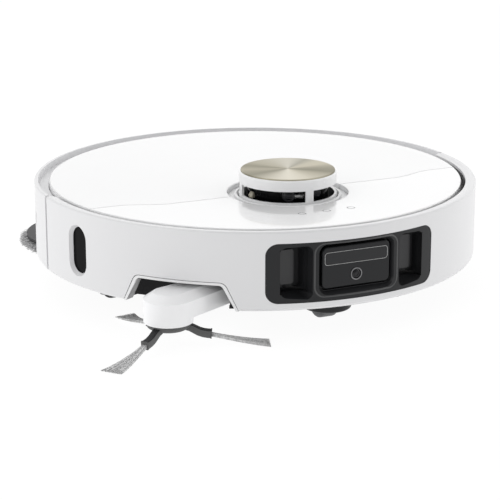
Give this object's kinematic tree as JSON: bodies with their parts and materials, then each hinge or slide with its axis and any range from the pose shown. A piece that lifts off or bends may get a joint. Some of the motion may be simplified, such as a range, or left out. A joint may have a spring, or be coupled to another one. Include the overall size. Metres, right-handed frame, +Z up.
{
  "type": "robot vacuum cleaner",
  "caption": "Disc-shaped robot vacuum and mop with a pressable front bumper, laser turret, swing-out side brush, twin spinning mop pads and a lift-out dust bin.",
  "frame": {"origin": "point on the floor under the centre of the round body", "axes": "+Z up from the floor, -Y towards the front bumper and camera, -X towards the robot's right side, where the side brush is"},
  "size_m": [0.3715, 0.3903, 0.1004],
  "materials": {
    "white_shell": "satin",
    "white_cover": "gloss",
    "black_gloss": "gloss",
    "black_bay": "satin",
    "dark_chassis": "matte",
    "gold_disc": "radial brushed",
    "steel": "satin",
    "ring_metal": "satin",
    "lens_glass": "gloss",
    "light_cover": "gloss",
    "contact_metal": "satin",
    "tyre_rubber": "matte",
    "soft_rubber": "matte",
    "bristle": "fibres",
    "mop_cloth": "microfibre",
    "mop_plate": "matte",
    "smoke_bin": "translucent smoke",
    "filter_paper": "pleated",
    "battery_wrap": "shrink film",
    "circuit_board": "solder mask",
    "fan_plastic": "matte",
    "gear_case": "satin",
    "tank_plastic": "translucent",
    "hub_plastic": "satin"
  },
  "bodies": {
    "base": {"chassis_base": "dark_chassis", "rear_floor": "dark_chassis", "chassis_wall": "dark_chassis", "bay_shells": "dark_chassis", "rear_shell": "white_shell", "top_deck": "white_shell", "front_panel": "white_cover", "turret_well": "white_cover", "lidar_base": "dark_chassis", "brush_housing": "dark_chassis", "suction_duct": "dark_chassis", "brush_guard": "black_bay", "gear_cases": "gear_case", "battery_pack": "battery_wrap", "main_board": "circuit_board", "fan_housing": "fan_plastic", "water_tank": "tank_plastic", "water_inlet": "soft_rubber", "cliff_sensors": "black_gloss", "dock_contacts": "contact_metal"},
    "bumper": {"bumper_skirt": "white_shell", "arm_bay_trim": "white_cover", "side_window": "black_gloss", "sensor_bay": "black_bay", "camera_panel": "black_gloss", "light_bar": "light_cover", "camera_ring": "ring_metal", "camera_lens": "lens_glass", "laser_windows": "black_gloss"},
    "lid": {"rear_lid": "white_cover"},
    "turret": {"turret_cap": "white_cover", "turret_disc": "gold_disc"},
    "rotor": {"lidar_rotor": "black_gloss", "lidar_lens": "lens_glass"},
    "key_right": {"button_right": "white_cover"},
    "key_middle": {"button_middle": "white_cover"},
    "key_left": {"button_left": "white_cover"},
    "susp_right": {"suspension_right": "gear_case"},
    "susp_left": {"suspension_left": "gear_case"},
    "wheel_right": {"wheel_hub_right": "hub_plastic", "tyre_right": "tyre_rubber"},
    "wheel_left": {"wheel_hub_left": "hub_plastic", "tyre_left": "tyre_rubber"},
    "caster": {"caster_fork": "black_bay"},
    "caster_roller": {"caster_wheel": "hub_plastic"},
    "main_brush": {"main_brush_core": "hub_plastic", "main_brush_fins": "soft_rubber"},
    "brush_arm": {"side_brush_arm": "white_cover"},
    "side_brush": {"side_brush_hub": "soft_rubber", "side_brush_bristles": "bristle"},
    "lift_left": {"mop_shaft_left": "steel"},
    "mop_left": {"mop_plate_left": "mop_plate", "mop_pad_left": "mop_cloth"},
    "lift_right": {"mop_shaft_right": "steel"},
    "mop_swing": {"mop_arm_right": "mop_plate"},
    "mop_right": {"mop_plate_right": "mop_plate", "mop_pad_right": "mop_cloth"},
    "impeller": {"suction_impeller": "fan_plastic"},
    "bin": {"dustbin": "smoke_bin", "bin_filter": "filter_paper"}
  },
  "joints": [
    {"name": "bumper_press", "type": "slide", "parent": "base", "child": "bumper", "axis": [0, 1, 0], "range_m": [0, 0.003], "stiffness_N_per_m": 400, "springref_m": -0.001},
    {"name": "lid_lift", "type": "slide", "parent": "base", "child": "lid", "axis": [0, 0, 1], "range_m": [0, 0.08]},
    {"name": "bin_lift", "type": "slide", "parent": "base", "child": "bin", "axis": [0, 0, 1], "range_m": [0, 0.06]},
    {"name": "turret_press", "type": "slide", "parent": "base", "child": "turret", "axis": [0, 0, -1], "range_m": [0, 0.0015], "stiffness_N_per_m": 800, "springref_m": -0.0015},
    {"name": "lidar_spin", "type": "hinge", "parent": "base", "child": "rotor", "pos_m": [0, -0.059, 0.07], "axis": [0, 0, 1], "continuous": true},
    {"name": "key_right_press", "type": "slide", "parent": "base", "child": "key_right", "axis": [0, 0, -1], "range_m": [0, 0.0006], "stiffness_N_per_m": 500, "springref_m": -0.0004},
    {"name": "key_middle_press", "type": "slide", "parent": "base", "child": "key_middle", "axis": [0, 0, -1], "range_m": [0, 0.0006], "stiffness_N_per_m": 500, "springref_m": -0.0004},
    {"name": "key_left_press", "type": "slide", "parent": "base", "child": "key_left", "axis": [0, 0, -1], "range_m": [0, 0.0006], "stiffness_N_per_m": 500, "springref_m": -0.0004},
    {"name": "suspension_right_swing", "type": "hinge", "parent": "base", "child": "susp_right", "pos_m": [-0.121, -0.046, 0.04], "axis": [-1, 0, 0], "range_deg": [0, 14], "stiffness_Nm_per_rad": 0.25, "springref_deg": 51.57},
    {"name": "suspension_left_swing", "type": "hinge", "parent": "base", "child": "susp_left", "pos_m": [0.121, -0.046, 0.04], "axis": [-1, 0, 0], "range_deg": [0, 14], "stiffness_Nm_per_rad": 0.25, "springref_deg": 51.57},
    {"name": "wheel_right_spin", "type": "hinge", "parent": "susp_right", "child": "wheel_right", "pos_m": [-0.121, -0.006, 0.035], "axis": [1, 0, 0], "continuous": true},
    {"name": "wheel_left_spin", "type": "hinge", "parent": "susp_left", "child": "wheel_left", "pos_m": [0.121, -0.006, 0.035], "axis": [1, 0, 0], "continuous": true},
    {"name": "caster_swivel", "type": "hinge", "parent": "base", "child": "caster", "pos_m": [0, -0.126, 0.024], "axis": [0, 0, 1], "continuous": true},
    {"name": "caster_roll", "type": "hinge", "parent": "caster", "child": "caster_roller", "pos_m": [0, -0.121, 0.013], "axis": [1, 0, 0], "continuous": true},
    {"name": "main_brush_spin", "type": "hinge", "parent": "base", "child": "main_brush", "pos_m": [0, -0.062, 0.0205], "axis": [1, 0, 0], "continuous": true},
    {"name": "arm_swing", "type": "hinge", "parent": "base", "child": "brush_arm", "pos_m": [-0.076, -0.11, 0.03], "axis": [0, 0, -1], "range_deg": [0, 16]},
    {"name": "side_brush_spin", "type": "hinge", "parent": "brush_arm", "child": "side_brush", "pos_m": [-0.1306, -0.1323, 0.02], "axis": [0, 0, 1], "continuous": true},
    {"name": "mop_lift_left_slide", "type": "slide", "parent": "base", "child": "lift_left", "axis": [0, 0, 1], "range_m": [0, 0.007]},
    {"name": "mop_left_spin", "type": "hinge", "parent": "lift_left", "child": "mop_left", "pos_m": [0.064, 0.092, 0.008], "axis": [0, 0, 1], "continuous": true},
    {"name": "mop_lift_right_slide", "type": "slide", "parent": "base", "child": "lift_right", "axis": [0, 0, 1], "range_m": [0, 0.007]},
    {"name": "mop_arm_swing", "type": "hinge", "parent": "lift_right", "child": "mop_swing", "pos_m": [-0.042, 0.1314, 0.014], "axis": [0, 0, 1], "range_deg": [0, 82.3]},
    {"name": "mop_right_spin", "type": "hinge", "parent": "mop_swing", "child": "mop_right", "pos_m": [-0.084, 0.148, 0.008], "axis": [0, 0, 1], "continuous": true},
    {"name": "impeller_spin", "type": "hinge", "parent": "base", "child": "impeller", "pos_m": [0, 0.121, 0.04], "axis": [0, 0, 1], "continuous": true}
  ],
  "couplings": [
    {"joint": "bin_lift", "follows": "lid_lift", "ratio": 0.75}
  ]
}
